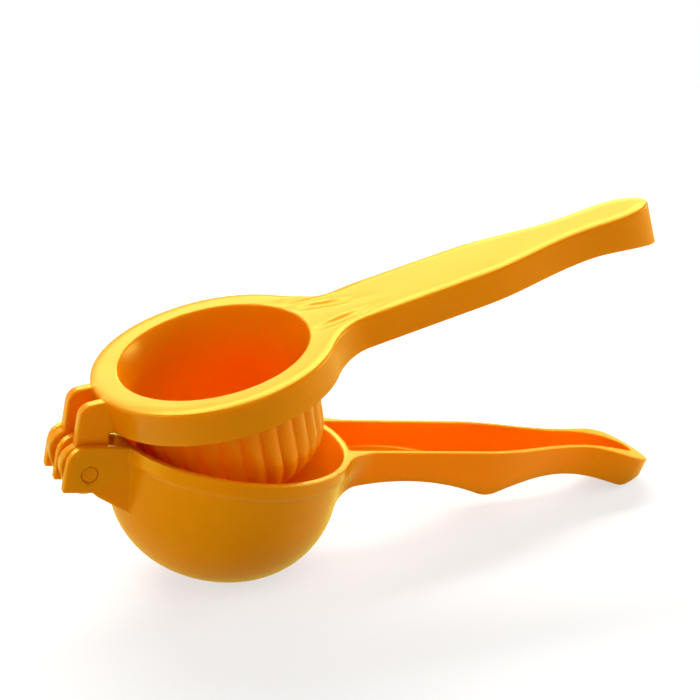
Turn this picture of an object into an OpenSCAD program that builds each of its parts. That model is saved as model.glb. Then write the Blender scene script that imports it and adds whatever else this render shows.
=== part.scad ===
// Hinged lemon squeezer: a bowl arm with a strainer, a press arm with a fluted cup, and a hinge pin.
// Both arms are drawn closed, in the bowl's own frame: origin at the centre of the bowl's mouth,
// +X along the handles, +Z up the bowl's axis. They are then set down as the squeezer stands on a
// table, with the press arm opened about the pin. The origin is where the bowl touches the table.

/* [Bowl] */
// Outer diameter of the band round the bowl's mouth
rim_d = 82; // [78:0.5:90]
// Height of the band round the bowl's mouth
band_h = 5; // [3:0.5:8]
// How far the band stands proud of the wall below it
band_step = 0.7; // [0.3:0.1:1.5]
// Thickness of the bowl's wall
bowl_wall = 2.2; // [1.6:0.1:3]
// Depth of the bowl outside, from its mouth to its lowest point
bowl_depth = 48.2; // [46:0.2:54]
// Draft of the bowl's wall, in degrees
bowl_draft = 6; // [3:0.5:8]
// Radius of the curve between the bowl's wall and its bottom
bowl_corner_r = 32; // [24:1:34]
// Radius of the bowl's shallow domed bottom
bowl_dome_r = 300; // [150:10:500]

/* [Strainer] */
// Diameter of each strainer hole
hole_d = 3.2; // [2:0.1:4]
// Distance from one ring of holes to the next
hole_pitch = 6.2; // [5:0.2:7]
// Number of rings of holes round the middle one
hole_rings = 3; // [1:1:4]

/* [Press cup] */
// Diameter of the press cup over its flutes, where it leaves the ring
cup_d = 64.7; // [60:0.5:66]
// Depth of the cup below the bowl's mouth when the squeezer is closed
cup_depth = 35.6; // [32:0.2:38]
// Draft of the cup's wall, in degrees
cup_draft = 2; // [1:0.5:4]
// Radius of the curve between the cup's wall and its bottom
cup_corner_r = 15; // [12:0.5:18]
// Radius of the cup's domed bottom
cup_dome_r = 76; // [60:2:120]
// Thickness of the cup's wall at the crests of its flutes
cup_wall = 2.6; // [2:0.1:3]
// Diameter of the cup's mouth in the top face
mouth_d = 64.6; // [62:0.2:68]
// Number of flutes round the cup
flute_count = 30; // [24:2:40]
// Depth of the valleys between the flutes
flute_depth = 0.9; // [0.4:0.1:1.1]

/* [Ring] */
// How far the ring that carries the press cup stands out beyond the band below it
ring_overhang = 0.25; // [0:0.05:1]
// Height of the ring and of the press handle
ring_h = 12.1; // [10:0.1:15]
// Thickness of the top face of the ring and handle
top_wall = 2.4; // [1.8:0.1:3]
// Thickness of the skirt of the ring and handle
skirt_wall = 2.3; // [1.8:0.1:3]

/* [Handles] */
// Width of the press handle beside the ring
press_handle_w = 28; // [24:0.5:32]
// Width of the bowl handle beside the bowl
bowl_handle_w = 29.4; // [26:0.2:33]
// Distance from the bowl's axis to where the handles start to narrow
neck_x = 94; // [85:1:100]
// Distance from the bowl's axis to the waist of the handles
waist_x = 138; // [130:1:142]
// Width of the handles at the waist
waist_w = 16.8; // [14:0.2:18]
// Width of the press handle's end
press_end_w = 17.8; // [16:0.2:22]
// Distance from the bowl's axis to the widest place of the press handle's end
press_end_x = 152; // [146:1:156]
// Distance from the bowl's axis to the tip of the press handle
press_tip_x = 169.8; // [165:0.5:180]
// Width of the bowl handle's flared end, at the height of the bowl's mouth
bowl_end_w = 25.8; // [20:0.2:27]
// Distance from the bowl's axis to the widest place of the bowl handle's end
bowl_end_x = 159.5; // [155:0.5:162]
// Angle at which the bowl handle's flared end tapers downwards
bowl_end_draft = 11.5; // [5:0.5:15]
// Angle at which the tip of the press handle leans back towards its top
press_end_draft = 6; // [2:0.5:9]
// Radius of the fillets where a handle leaves the ring or the bowl
root_fillet_r = 10.5; // [5:0.5:14]
// Thickness of the side walls of the bowl handle
channel_wall = 2.1; // [1.6:0.1:3]
// Thickness of the floor of the bowl handle
channel_floor = 2.5; // [1.8:0.1:3]
// Distance from the end of the bowl handle's channel to the tip
channel_end_gap = 7; // [5:0.5:12]
// Distance from the bowl's axis to where the parting line of the handles bends down
bend_x = 138; // [130:1:145]
// Radius of that bend
bend_r = 92; // [70:2:140]

/* [Finger grip] */
// Depth of the bowl handle at the finger bump
bump_depth = 16.6; // [15.6:0.2:18]
// Depth of the bowl handle at the heel of its tip
heel_depth = 15.4; // [14:0.2:17]
// Depth of the bowl handle at the top of each finger arch
arch_depth = 11.1; // [9.5:0.1:12]
// Distance from the bowl's axis to the middle of the first arch
arch_1_x = 62; // [58:1:66]
// Radius of the first arch
arch_1_r = 98; // [90:1:110]
// Distance from the bowl's axis to the middle of the second arch
arch_2_x = 129.5; // [126:0.5:132]
// Radius of the second arch
arch_2_r = 90; // [82:1:100]
// Radius of the heel under the tip, on which the bowl handle stands
heel_r = 4.5; // [3:0.5:6]
// Radius of the fillet between the underside of the bowl handle and the bowl
under_fillet_r = 6; // [3:0.5:8]

/* [Hinge] */
// Distance from the band round the bowl's mouth to the pin's axis
pin_out = 10.8; // [10:0.1:14]
// Depth of the pin's axis below the bowl's mouth
pin_drop = 9.7; // [8.5:0.1:11]
// Diameter of the hinge pin
pin_d = 5.5; // [4:0.1:6.5]
// Radial clearance of the pin in the press arm's lugs
pin_running_gap = 0.08; // [0.03:0.01:0.1]
// Radial clearance of the pin in the bowl arm's lugs
pin_push_gap = 0.02; // [0.01:0.01:0.05]
// How far each end of the pin lies below the face of its lug
pin_recess = 0.5; // [0.2:0.1:1]
// Radius of the lugs' ends about the pin
lug_end_r = 8.2; // [7.4:0.1:9]
// Radius of the lugs' upper corners
lug_corner_r = 7; // [5:0.5:7.5]
// Distance from the pin's axis down to the foot of the bowl arm's lugs
lug_foot_drop = 6.3; // [5.5:0.1:7]
// Depth of the sloping web that joins that foot to the bowl's wall
lug_web_drop = 7.7; // [5:0.1:9]
// Radius of the shoulder where the press arm's lugs leave the ring
press_shoulder_r = 3.5; // [2:0.5:4]
// How far that shoulder stands out beyond the ring
press_shoulder_out = 5; // [4:0.5:6]
// Thickness of each of the bowl arm's three lugs
bowl_lug_t = 3; // [2.4:0.1:3.6]
// Thickness of each of the press arm's two lugs
press_lug_t = 4; // [3:0.1:4.4]
// Width of the whole hinge, over the outer lugs
hinge_w = 23.6; // [22:0.2:28]
// Gap between neighbouring lugs of the two arms
lug_gap = 0.3; // [0.2:0.05:0.5]

/* [Stance] */
// Angle by which the press arm stands open
opening = 22.2; // [5:0.1:60]
// Gap that stays between the two arms when the squeezer is closed
closing_gap = 0.3; // [0.2:0.1:0.6]

/* [Hidden] */
plastic = "orange";
skin = 0.01;
past = 1;
round_fn = 96;
pin_fn = 48;
hole_fn = 24;

rim_r = rim_d / 2;
ring_r = rim_r + ring_overhang;
pin_r = pin_d / 2;
pin_x = rim_r + pin_out;
pin_z = -pin_drop;
pin_length = hinge_w - 2 * pin_recess;

// A cup is described by [radius at height 0, draft, corner radius, dome radius, depth].
body_top_r = rim_r - band_step + band_h * tan(bowl_draft);
bowl_outside = [body_top_r, bowl_draft, bowl_corner_r, bowl_dome_r, bowl_depth];
bowl_inside = thinner(bowl_outside, bowl_wall);
cup_outside = [cup_d / 2, cup_draft, cup_corner_r, cup_dome_r, cup_depth];
cup_inside = thinner(cup_outside, cup_wall);
flare_base = -3;
flare_steps = 6;
arc_steps = 12;
dome_steps = 3;
segments_per_flute = 6;
flute_fade_r = 9;

// The heel is a round bar across the bowl handle, just inside its tapering end.
end_taper = tan(bowl_end_draft);
bowl_tip_x = bowl_end_x + bowl_end_w / 2;
heel_z = heel_r - heel_depth;
heel_x = bowl_tip_x + heel_z * end_taper - heel_r / cos(bowl_end_draft);
neck_steps = 12;
flare_side_steps = 8;
end_steps = 10;
parting_steps = 10;
parting_end_x = bowl_tip_x + past;
fillet_overlap = 0.8;
lug_overlap = 5;
lug_corner_steps = 10;
lug_step_start = 1.8;
lug_step = [1.6, -1.3];
lug_corner_end = 94;
shoulder_start = 157;

// Stance on the table: the bowl's corner curve and the heel both touch it.
corner = corner_center(bowl_outside);
reach = [heel_x - corner.x, corner.y - heel_z];
stance_tilt = asin((bowl_corner_r - heel_r) / norm(reach)) - atan2(reach.y, reach.x);
contact_x = corner.x * cos(stance_tilt) + corner.y * sin(stance_tilt);
contact_z = corner.y * cos(stance_tilt) - corner.x * sin(stance_tilt) - bowl_corner_r;

function thinner(cup, wall) =
    [cup[0] - wall / cos(cup[1]), cup[1], cup[2] - wall, cup[3] - wall, cup[4] - wall];

function arc(center, r, from, to, steps) =
    [for (i = [0:steps]) let (a = from + (to - from) * i / steps) center + r * [cos(a), sin(a)]];

// Centre of the corner curve that touches both the drafted wall and the domed bottom.
function corner_center(cup) =
    let (
        draft = cup[1],
        start = [cup[0] - cup[2] * cos(draft), cup[2] * sin(draft) + cup[4] - cup[3]],
        down = [-sin(draft), -cos(draft)],
        along = start * down,
        fall = sqrt(along * along - start * start + pow(cup[3] - cup[2], 2)) - along
    )
    start + fall * down + [0, cup[3] - cup[4]];

// Radius and height of the cup's surface from a height down to the middle of its bottom.
function cup_curve(cup, top) =
    let (
        middle = corner_center(cup),
        dome = [0, cup[3] - cup[4]],
        meet = -atan2(dome.y - middle.y, middle.x)
    )
    concat(
        [[cup[0] + top * tan(cup[1]), top]],
        arc(middle, cup[2], -cup[1], meet, arc_steps),
        [for (i = [1:dome_steps]) dome + cup[3] * [cos(meet - (meet + 90) * i / dome_steps),
                                                   sin(meet - (meet + 90) * i / dome_steps)]]
    );

function ease(t) = (1 - cos(180 * t)) / 2;

// One side of a handle's outline, from the bowl's axis to its tip.
function handle_side(width, waist, end_x, end_w, tip) = concat(
    [[0, width / 2]],
    [for (i = [0:neck_steps - 1]) let (t = i / neck_steps)
        [neck_x + (waist_x - neck_x) * t, (width + (waist - width) * ease(t)) / 2]],
    [for (i = [0:flare_side_steps - 1]) let (t = i / flare_side_steps)
        [waist_x + (end_x - waist_x) * t, (waist + (end_w - waist) * ease(t)) / 2]],
    [for (i = [0:end_steps]) let (a = 90 * i / end_steps)
        [end_x + (tip - end_x) * sin(a), end_w / 2 * cos(a)]]
);

// One side of the hollow in a handle, between walls of the thickness given.
function hollow_side(width, end_x, tip, wall) =
    handle_side(width - 2 * wall, waist_w - 2 * wall, end_x, waist_w - 2 * wall, tip);

// Height of the parting line between the closed handles.
function parting_z(x) = x < bend_x ? 0 : sqrt(pow(bend_r, 2) - pow(x - bend_x, 2)) - bend_r;

function parting_line(to) = concat(
    [[-rim_r - past, 0]],
    [for (i = [0:parting_steps]) let (x = bend_x + (to - bend_x) * i / parting_steps)
        [x, parting_z(x)]]
);

// A closed outline from one side of it.
function both_sides(side) = concat(side, [for (i = [len(side) - 2:-1:0]) [side[i].x, -side[i].y]]);

// The two webs that round the corners between a circle and a handle.
module root_fillets(circle_r, width, inset) {
    center_y = width / 2 + root_fillet_r;
    center_x = sqrt(pow(circle_r + root_fillet_r, 2) - pow(center_y, 2));
    touch = circle_r / (circle_r + root_fillet_r) * [center_x, center_y];
    for (side = [-1, 1])
        difference() {
            polygon([
                [touch.x * fillet_overlap, side * touch.y * fillet_overlap],
                [touch.x, side * touch.y],
                [center_x, side * center_y],
                [center_x, side * width / 2],
                [center_x, side * width / 4]
            ]);
            translate([center_x, side * center_y]) circle(r = root_fillet_r + inset, $fn = round_fn);
        }
}

// Extrudes a side view, drawn as X and Z, to the width given, centred on the middle plane.
module across(width) {
    translate([0, width / 2, 0]) rotate([90, 0, 0]) linear_extrude(width) children();
}

// A solid of revolution bounded by a cup's curve, from a height down.
module cup_solid(cup, top) {
    rotate_extrude($fn = round_fn) polygon(concat([[0, top]], cup_curve(cup, top)));
}

// ---------------------------------------------------------------- bowl arm

module arches(lift) {
    translate([arch_1_x, lift - arch_depth - arch_1_r]) circle(r = arch_1_r, $fn = 2 * round_fn);
    translate([arch_2_x, lift - arch_depth - arch_2_r]) circle(r = arch_2_r, $fn = 2 * round_fn);
}

// Side view of the bowl handle: the parting line above, two finger arches and a heel below.
module bowl_side_view() {
    difference() {
        polygon(concat(parting_line(parting_end_x), [
            [parting_end_x, -heel_depth],
            [arch_2_x, -heel_depth],
            [arch_2_x, -bump_depth],
            [-rim_r - past, -bump_depth]
        ]));
        arches(0);
        difference() {
            translate([heel_x, -heel_depth - past])
                square([heel_depth, heel_r + past - heel_r * sin(bowl_end_draft)]);
            translate([heel_x, heel_z]) circle(r = heel_r, $fn = round_fn);
        }
    }
}

// Plan of the bowl handle from one distance along it to another.
module bowl_handle_plan(from, to) {
    intersection() {
        polygon(both_sides(handle_side(bowl_handle_w, waist_w, bowl_end_x, bowl_end_w, bowl_tip_x)));
        translate([from, -rim_r]) square([to - from, rim_d]);
    }
}

module bowl_root_fillets(height) {
    translate([0, 0, -height]) linear_extrude(height)
        root_fillets(body_top_r - arch_depth * tan(bowl_draft), bowl_handle_w, 0);
}

// The outside of the bowl handle. Beyond the waist its flanks and its round end taper downwards.
module bowl_handle_outside() {
    end_r = bowl_end_w / 2;
    foot_r = end_r - bump_depth * end_taper;
    intersection() {
        union() {
            translate([0, 0, -bump_depth]) {
                linear_extrude(bump_depth) bowl_handle_plan(0, waist_x);
                translate([bowl_end_x, 0, 0])
                    cylinder(r1 = foot_r, r2 = end_r, h = bump_depth, $fn = round_fn);
                intersection() {
                    linear_extrude(bump_depth) bowl_handle_plan(waist_x - past, bowl_end_x);
                    rotate([90, 0, 90]) linear_extrude(bowl_tip_x)
                        polygon([[-foot_r, 0], [foot_r, 0], [end_r, bump_depth], [-end_r, bump_depth]]);
                }
            }
            bowl_root_fillets(bump_depth);
        }
        across(2 * rim_d) bowl_side_view();
    }
}

// The open channel in the top of the bowl handle, with its floor parallel to the underside.
module bowl_channel() {
    side = hollow_side(bowl_handle_w, press_end_x, bowl_tip_x - channel_end_gap, channel_wall);
    difference() {
        intersection() {
            translate([0, 0, -bump_depth]) linear_extrude(bump_depth + past)
                polygon(both_sides(side));
            across(rim_d) difference() {
                translate([0, channel_floor - heel_depth]) square([bowl_tip_x, heel_depth + past]);
                arches(channel_floor);
            }
        }
        cup_solid(bowl_outside, 2 * past);
        translate([0, 0, -band_h]) cylinder(r = rim_r, h = band_h + 2 * past, $fn = round_fn);
    }
}

// Rounds the corner under the bowl handle, where it meets the bowl's wall.
module under_handle_fillet() {
    r = under_fillet_r;
    wall_r = body_top_r - (arch_depth + r) * tan(bowl_draft);
    handle_z = -arch_depth - arch_1_r + sqrt(pow(arch_1_r, 2) - pow(arch_1_x - wall_r - r, 2));
    intersection() {
        rotate([0, 0, -45]) rotate_extrude(angle = 90, $fn = round_fn)
            difference() {
                translate([wall_r - bowl_wall, handle_z - r]) square([bowl_wall + r, r + past]);
                translate([wall_r + r, handle_z - r]) circle(r = r, $fn = round_fn);
            }
        union() {
            translate([0, 0, -bump_depth - r]) linear_extrude(bump_depth + r)
                bowl_handle_plan(0, waist_x);
            bowl_root_fillets(bump_depth + r);
        }
    }
}

// Side view of a bowl lug: a plate with one round corner and a stepped, sloping lower edge.
module bowl_lug_side_view() {
    left = -pin_x - lug_end_r;
    foot = pin_z - lug_foot_drop;
    step = [lug_step_start - pin_x, foot];
    polygon(concat(
        [[left, foot]],
        arc([left + lug_corner_r, -lug_corner_r], lug_corner_r, 180, 90, lug_corner_steps),
        [[lug_overlap - rim_r, 0], [lug_overlap - rim_r, foot - lug_web_drop]],
        [step + lug_step, step]
    ));
}

module bowl_lugs() {
    for (y = [-1, 0, 1])
        translate([0, y * (hinge_w - bowl_lug_t) / 2, 0]) across(bowl_lug_t) bowl_lug_side_view();
}

module strainer_holes() {
    for (ring = [0:hole_rings])
        for (i = [0:max(0, 6 * ring - 1)])
            rotate([0, 0, 60 * i / max(1, ring)]) translate([ring * hole_pitch, 0, -bowl_depth - past])
                cylinder(d = hole_d, h = bowl_depth, $fn = hole_fn);
}

module pin_bore(gap) {
    translate([-pin_x, hinge_w / 2 + past, pin_z]) rotate([90, 0, 0])
        cylinder(r = pin_r + gap, h = hinge_w + 2 * past, $fn = pin_fn);
}

module bowl_arm_closed() {
    difference() {
        union() {
            cup_solid(bowl_outside, 0);
            translate([0, 0, -band_h]) cylinder(r = rim_r, h = band_h, $fn = round_fn);
            bowl_handle_outside();
            under_handle_fillet();
            bowl_lugs();
        }
        bowl_channel();
        cup_solid(bowl_inside, past);
        strainer_holes();
        pin_bore(pin_push_gap);
    }
}

// ---------------------------------------------------------------- press arm

// Plan of the ring and of the webs between it and the handle, drawn in by inset.
module ring_plan(inset) {
    circle(r = ring_r - inset, $fn = round_fn);
    root_fillets(ring_r, press_handle_w, inset);
}

// The outside of the ring and handle, down to the parting line. The handle's tip leans back.
module press_outside() {
    foot = closing_gap + parting_z(press_tip_x);
    lean = (ring_h - foot) * tan(press_end_draft);
    intersection() {
        translate([0, 0, foot]) linear_extrude(ring_h - foot) {
            ring_plan(0);
            polygon(both_sides(
                handle_side(press_handle_w, waist_w, press_end_x, press_end_w, press_tip_x)
            ));
        }
        across(2 * rim_d)
            polygon(concat(
                [for (p = parting_line(press_tip_x)) p + [0, closing_gap]],
                [[press_tip_x - lean, ring_h], [-ring_r - past, ring_h]]
            ));
    }
}

// The hollow under the top face of the ring and handle.
module press_hollow() {
    side = hollow_side(press_handle_w, press_end_x, press_tip_x - 2 * skirt_wall, skirt_wall);
    translate([0, 0, -ring_h]) linear_extrude(2 * ring_h - top_wall) {
        ring_plan(skirt_wall);
        polygon(both_sides(side));
    }
}

// The fluted outside of the press cup. Each flute is a round lobe between two sharp valleys.
module fluted_plug() {
    around = flute_count * segments_per_flute;
    curve = cup_curve(cup_outside, ring_h - top_wall / 2);
    rings = [for (p = curve) if (p.x > flute_fade_r) p];
    function lobe(k) = pow(2 * (k % segments_per_flute) / segments_per_flute - 1, 2);
    function fade(r) = flute_depth * min(1, (r - flute_fade_r) / flute_fade_r);
    points = concat(
        [for (p = rings) for (k = [0:around - 1])
            let (a = 360 * (k / around - 0.5 / flute_count), r = p.x - fade(p.x) * lobe(k))
                [r * cos(a), r * sin(a), p.y]],
        [[0, 0, -cup_depth]]
    );
    tip = len(points) - 1;
    last = (len(rings) - 1) * around;
    polyhedron(points, concat(
        [[for (k = [around - 1:-1:0]) k]],
        [for (i = [0:len(rings) - 2]) for (k = [0:around - 1])
            let (a = i * around + k, b = i * around + (k + 1) % around)
                [a, b, b + around, a + around]],
        [for (k = [0:around - 1]) [last + k, last + (k + 1) % around, tip]]
    ));
}

// The smooth inside of the press cup, which flares out to its mouth in the top face.
module cup_hollow() {
    base_r = cup_inside[0] + flare_base * tan(cup_draft);
    rise = ring_h - flare_base;
    flare = [for (i = [0:flare_steps]) let (t = 1 - i / flare_steps)
        [base_r + (mouth_d / 2 - base_r) * pow(t, 2), flare_base + rise * t]];
    wall = [for (p = cup_curve(cup_inside, flare_base)) if (p.y < flare_base - skin) p];
    rotate_extrude($fn = round_fn)
        polygon(concat([[0, ring_h + past], [mouth_d / 2, ring_h + past]], flare, wall));
}

// Side view of a press lug: a plate that leaves the ring, steps in and ends round about the pin.
module press_lug_side_view() {
    left = -pin_x - lug_end_r;
    shoulder = [-ring_r - press_shoulder_out, ring_h - press_shoulder_r];
    lug_root = lug_overlap - 1 - ring_r;
    translate([-pin_x, pin_z]) circle(r = lug_end_r, $fn = round_fn);
    polygon(concat(
        [[left, pin_z]],
        arc([left + lug_corner_r, -lug_corner_r], lug_corner_r, 180, lug_corner_end, lug_corner_steps),
        arc(shoulder, press_shoulder_r, shoulder_start, 90, lug_corner_steps),
        [[lug_root, ring_h], [lug_root, closing_gap], [-rim_r - 3 * closing_gap, closing_gap]],
        [[lug_end_r - pin_x, pin_z], [-pin_x, pin_z]]
    ));
}

module press_lugs() {
    inner = hinge_w / 2 - bowl_lug_t - lug_gap - press_lug_t / 2;
    for (side = [-1, 1])
        translate([0, side * inner, 0]) across(press_lug_t) press_lug_side_view();
}

module press_arm_closed() {
    difference() {
        union() {
            difference() {
                press_outside();
                press_hollow();
            }
            fluted_plug();
            press_lugs();
        }
        cup_hollow();
        pin_bore(pin_running_gap);
    }
}

// ---------------------------------------------------------------- nodes, as they stand

module stand() {
    translate([-contact_x, 0, -contact_z]) rotate([0, stance_tilt, 0]) children();
}

module opened() {
    translate([-pin_x, 0, pin_z]) rotate([0, -opening, 0]) translate([pin_x, 0, -pin_z]) children();
}

module bowl_arm() {
    color(plastic) stand() bowl_arm_closed();
}

module press_arm() {
    color(plastic) stand() opened() press_arm_closed();
}

module hinge_pin() {
    color("darkorange") stand() translate([-pin_x, pin_length / 2, pin_z]) rotate([90, 0, 0])
        cylinder(r = pin_r, h = pin_length, $fn = pin_fn);
}

bowl_arm();
press_arm();
hinge_pin();
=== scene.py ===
"""Looks of a hinged lemon squeezer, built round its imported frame.

The two arms are drawn closed and in millimetres, in the bowl's own frame: origin at the centre of
the bowl's mouth, +X along the handles, +Z up the bowl's axis. Each arm is a distance field, so
that every corner has its moulded radius, and a net of quads is laid over the field. Then the arms
are set down as the squeezer stands, in metres. Flutes and strainer holes are Geometry Nodes.

The ends of names say what a size is: r radius, w width, h height, t thickness, x and z a place.
"""

import logging
import math
from dataclasses import dataclass
from enum import Enum
from itertools import product
from typing import Callable, Sequence

import bmesh
import bpy
import numpy as np
from mathutils import Matrix, Vector


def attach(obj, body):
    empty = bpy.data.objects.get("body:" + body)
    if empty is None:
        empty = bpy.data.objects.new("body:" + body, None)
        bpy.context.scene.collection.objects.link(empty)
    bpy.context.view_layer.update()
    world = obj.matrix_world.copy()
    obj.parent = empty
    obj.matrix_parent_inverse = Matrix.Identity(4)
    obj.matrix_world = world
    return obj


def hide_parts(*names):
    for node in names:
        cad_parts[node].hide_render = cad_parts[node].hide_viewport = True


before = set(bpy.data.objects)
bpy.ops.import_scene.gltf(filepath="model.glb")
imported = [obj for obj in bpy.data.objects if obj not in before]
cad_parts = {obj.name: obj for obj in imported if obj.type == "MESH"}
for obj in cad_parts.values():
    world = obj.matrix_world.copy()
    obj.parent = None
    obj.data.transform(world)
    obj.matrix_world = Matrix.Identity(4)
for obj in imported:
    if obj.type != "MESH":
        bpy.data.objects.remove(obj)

Array = np.ndarray
Amount = Array | float
Places = Sequence[Array]
Distance = Callable[[Places], Array]
Spot = tuple[float, float]
Place = tuple[float, float, float]
Thing = bpy.types.Object
Socket = bpy.types.NodeSocket
Material = bpy.types.Material
Inputs = dict[str | int, object]
MM = 0.001
TINY = 1e-9
MERGE = 2e-6
MOST_TRIANGLES = 185_000
log = logging.getLogger("squeezer")


class Arm(Enum):
    """The two bodies of the squeezer, by their names in the frame."""

    BOWL = "bowl_arm"
    PRESS = "press_arm"


# ---- fields and meshes


def round_union(a: Array, b: Array, radius: Amount) -> Array:
    """Joins two distance fields, negative inside, with a fillet of a radius in millimetres."""
    corner = np.hypot(np.maximum(radius - a, 0), np.maximum(radius - b, 0))
    return np.maximum(radius, np.minimum(a, b)) - corner


def round_cut(a: Array, b: Array, radius: Amount) -> Array:
    """Keeps what lies inside both fields and rounds the edge between them."""
    corner = np.hypot(np.maximum(radius + a, 0), np.maximum(radius + b, 0))
    return np.minimum(-radius, np.maximum(a, b)) + corner


def ease(t: Array) -> Array:
    """A rise from 0 to 1 that starts and ends level; t is held between 0 and 1."""
    return (1 - np.cos(np.pi * np.clip(t, 0, 1))) / 2


def ramp(value: Array, start: float, run: float) -> Array:
    """An eased rise from 0 at the start to 1 at its end, which lies a run further on."""
    return ease((value - start) / run)


def outline_distance(x: Array, z: Array, points: Sequence[Spot]) -> Array:
    """Distance to a closed outline in the XZ plane.

    Args:
        x: X of the places asked for.
        z: Z of the places asked for.
        points: the outline's corners in order.

    Returns:
        The distance, negative inside.
    """
    x, z = np.broadcast_arrays(x, z)
    nearest = np.full(x.shape, np.inf)
    inside = np.zeros(x.shape, bool)
    for (x0, z0), (x1, z1) in zip(points, [*points[1:], points[0]]):
        along_x, along_z = x1 - x0, z1 - z0
        share = ((x - x0) * along_x + (z - z0) * along_z) / (along_x**2 + along_z**2)
        share = np.clip(share, 0, 1)
        off_x, off_z = x - x0 - share * along_x, z - z0 - share * along_z
        nearest = np.minimum(nearest, off_x**2 + off_z**2)
        if z0 != z1:
            crosses = (z0 > z) != (z1 > z)
            inside ^= crosses & (x < x0 + (z - z0) / along_z * along_x)
    return np.sqrt(nearest) * np.where(inside, -1, 1)


def gradient(distance: Distance, points: Array, reach: float = 0.04) -> Array:
    """Slope of a field at some points.

    Args:
        distance: the field.
        points: N by 3 places.
        reach: half the span of each difference, in millimetres.

    Returns:
        N by 3 slopes, of length near 1 close to the surface.
    """
    slope = np.empty_like(points)
    for axis in range(3):
        ahead, behind = points.copy(), points.copy()
        ahead[:, axis] += reach
        behind[:, axis] -= reach
        slope[:, axis] = (distance(ahead.T) - distance(behind.T)) / (2 * reach)
    return slope


def net(distance: Distance, low: Place, high: Place, step: float) -> tuple[Array, Array]:
    """Lays a net of quads over the zero surface of a field.

    Each cell that the surface crosses gets one point, at the mean of the crossings on its edges,
    which is then drawn on to the surface. Each crossed edge gets one quad between its four cells.

    Args:
        distance: the field, negative inside.
        low: lowest corner of the box searched.
        high: highest corner of the box searched.
        step: cell size in millimetres.

    Returns:
        The points, N by 3, and the quads, M by 4, wound so that they face outwards.
    """
    origin = np.array(low)
    ticks = [np.arange(a, b + step, step) for a, b in zip(low, high)]
    shape = tuple(len(t) for t in ticks)
    value = np.broadcast_to(distance(np.ix_(*ticks)), shape)
    inside = value < 0
    corners = sum(
        inside[tuple(slice(k, n - 1 + k) for k, n in zip(offset, shape))].astype(np.uint8)
        for offset in product((0, 1), repeat=3)
    )
    crossed = (corners > 0) & (corners < 8)
    index = np.full(crossed.shape, -1, np.int64)
    index[crossed] = np.arange(crossed.sum())
    total, count = np.zeros((crossed.sum(), 3)), np.zeros(crossed.sum())
    quads = []
    for axis in range(3):
        left, right = (axis + 1) % 3, (axis + 2) % 3
        near = inside[tuple(slice(0, n - (k == axis)) for k, n in enumerate(shape))]
        far = inside[tuple(slice(int(k == axis), n) for k, n in enumerate(shape))]
        edges = np.argwhere(near != far)
        for side in (left, right):
            edges = edges[(edges[:, side] > 0) & (edges[:, side] < shape[side] - 1)]
        ends = edges.copy()
        ends[:, axis] += 1
        start, stop = value[tuple(edges.T)], value[tuple(ends.T)]
        spots = origin + edges * step
        spots[:, axis] += step * start / (start - stop)
        ring = []
        for shift_left, shift_right in ((0, 0), (-1, 0), (-1, -1), (0, -1)):
            cell = edges.copy()
            cell[:, left] += shift_left
            cell[:, right] += shift_right
            number = index[tuple(cell.T)]
            ring.append(number)
            count += np.bincount(number, minlength=len(count))
            for k in range(3):
                total[:, k] += np.bincount(number, spots[:, k], minlength=len(count))
        quad = np.stack(ring, 1)
        outward = start < 0
        quads += [quad[outward], quad[~outward][:, ::-1]]
    points = total / count[:, None]
    pulls, least_steep = 3, 0.25
    for _ in range(pulls):
        slope = gradient(distance, points)
        steepness = np.maximum((slope**2).sum(1), least_steep)
        pull = np.clip(distance(points.T) / steepness, -step / 2, step / 2)
        points -= pull[:, None] * slope
    return points, np.concatenate(quads)


def mesh_object(name: str, points: Array, faces: Array) -> Thing:
    """Makes an object at the origin from points and quads.

    Args:
        name: its name.
        points: N by 3 places.
        faces: M by 4 point numbers.

    Returns:
        The new object, linked to the scene.
    """
    mesh = bpy.data.meshes.new(name)
    mesh.from_pydata(points.tolist(), [], faces.tolist())
    mesh.update()
    thing = bpy.data.objects.new(name, mesh)
    bpy.context.scene.collection.objects.link(thing)
    return thing


def keep_shape(thing: Thing, modifier: bpy.types.Modifier) -> None:
    """Runs a modifier, keeps the result as a plain mesh and takes the modifier off.

    Args:
        thing: the object.
        modifier: its only modifier.
    """
    shaped = thing.evaluated_get(bpy.context.evaluated_depsgraph_get())
    mesh = bpy.data.meshes.new_from_object(shaped)
    thing.modifiers.remove(modifier)
    thing.data = mesh


def thin(thing: Thing, most: int) -> None:
    """Takes triangles from a dense mesh, first where it is nearly flat.

    Args:
        thing: the piece's object.
        most: how many triangles may stay.
    """
    now = sum(len(face.vertices) - 2 for face in thing.data.polygons)
    modifier = thing.modifiers.new("thin", "DECIMATE")
    modifier.ratio = min(1.0, most / now)
    keep_shape(thing, modifier)


def coordinates(mesh: bpy.types.Mesh) -> Array:
    """Reads a mesh's points.

    Args:
        mesh: the mesh.

    Returns:
        N by 3 places.
    """
    flat = np.empty(len(mesh.vertices) * 3)
    mesh.vertices.foreach_get("co", flat)
    return flat.reshape(-1, 3)


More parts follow.
